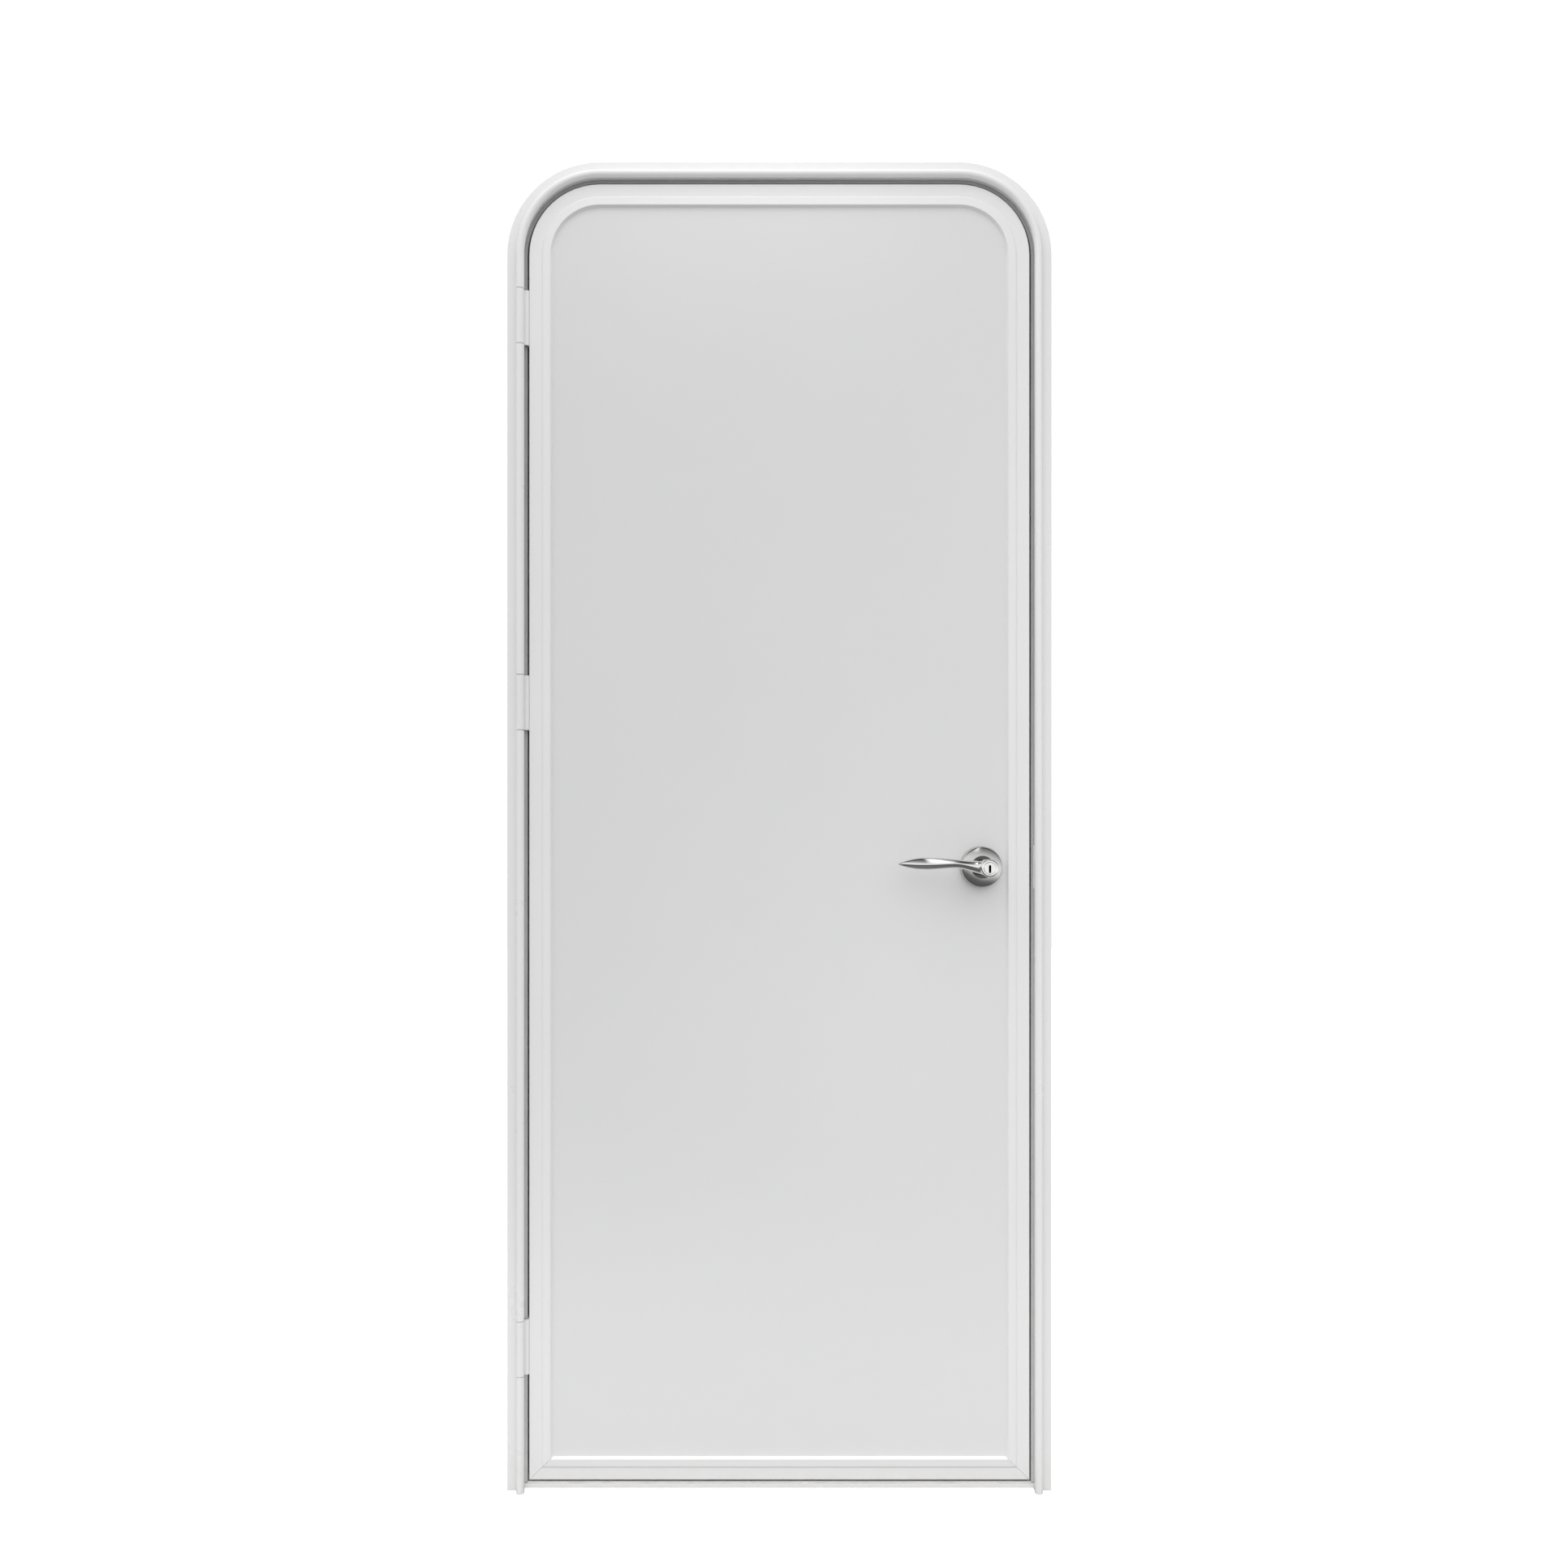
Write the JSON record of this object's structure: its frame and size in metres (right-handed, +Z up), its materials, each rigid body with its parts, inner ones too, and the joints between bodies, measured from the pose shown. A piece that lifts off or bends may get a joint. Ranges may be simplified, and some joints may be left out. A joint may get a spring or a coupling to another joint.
{
  "type": "caravan entry door in its wall frame",
  "caption": "White caravan entry door: a round-cornered flat leaf hung along a bead inside a bent metal wall frame, with a keyed lever latch.",
  "frame": {"origin": "middle of the sill's foot, on the plane that lies against the outer face of the wall", "axes": "+X towards the lever side, +Y into the wall and the caravan, +Z up"},
  "size_m": [0.75, 0.1598, 1.83],
  "materials": {
    "frame_white": "semi-gloss white powder coat on aluminium",
    "leaf_white": "semi-gloss white powder coat on aluminium",
    "panel_white": "smooth white fibreglass sheet",
    "core_foam": "rigid foam",
    "seal_rubber": "matt grey seal",
    "polished_metal": "polished",
    "plain_steel": "plain zinc"
  },
  "bodies": {
    "frame": {"door_frame": "frame_white", "sill": "frame_white", "frame_seal": "seal_rubber", "sill_seal": "seal_rubber", "hinge_rod": "plain_steel", "strike_plate": "frame_white"},
    "leaf": {"leaf_frame": "leaf_white", "leaf_bottom_rail": "leaf_white", "outer_skin": "panel_white", "foam_core": "core_foam", "inner_skin": "panel_white", "hinge_knuckle_top": "leaf_white", "hinge_knuckle_middle": "leaf_white", "hinge_knuckle_bottom": "leaf_white", "outer_rose": "polished_metal", "inner_rose": "polished_metal", "latch_case": "plain_steel", "latch_faceplate": "plain_steel", "latch_bolt": "plain_steel"},
    "lever": {"outer_lever": "polished_metal", "inner_lever": "polished_metal", "spindle": "plain_steel", "thumb_turn": "polished_metal"},
    "key": {"key_plug": "polished_metal"}
  },
  "joints": [
    {"name": "door_swing", "type": "hinge", "parent": "frame", "child": "leaf", "pos_m": [-0.356, -0.0068, 0.915], "axis": [0, 0, -1], "range_deg": [0, 170]},
    {"name": "lever_turn", "type": "hinge", "parent": "leaf", "child": "lever", "pos_m": [0.2777, -0.0005, 0.855], "axis": [0, -1, 0], "range_deg": [0, 45], "stiffness_Nm_per_rad": 1.2, "springref_deg": -28.65},
    {"name": "key_turn", "type": "hinge", "parent": "lever", "child": "key", "pos_m": [0.2777, -0.0575, 0.855], "axis": [0, -1, 0], "range_deg": [0, 90]}
  ]
}
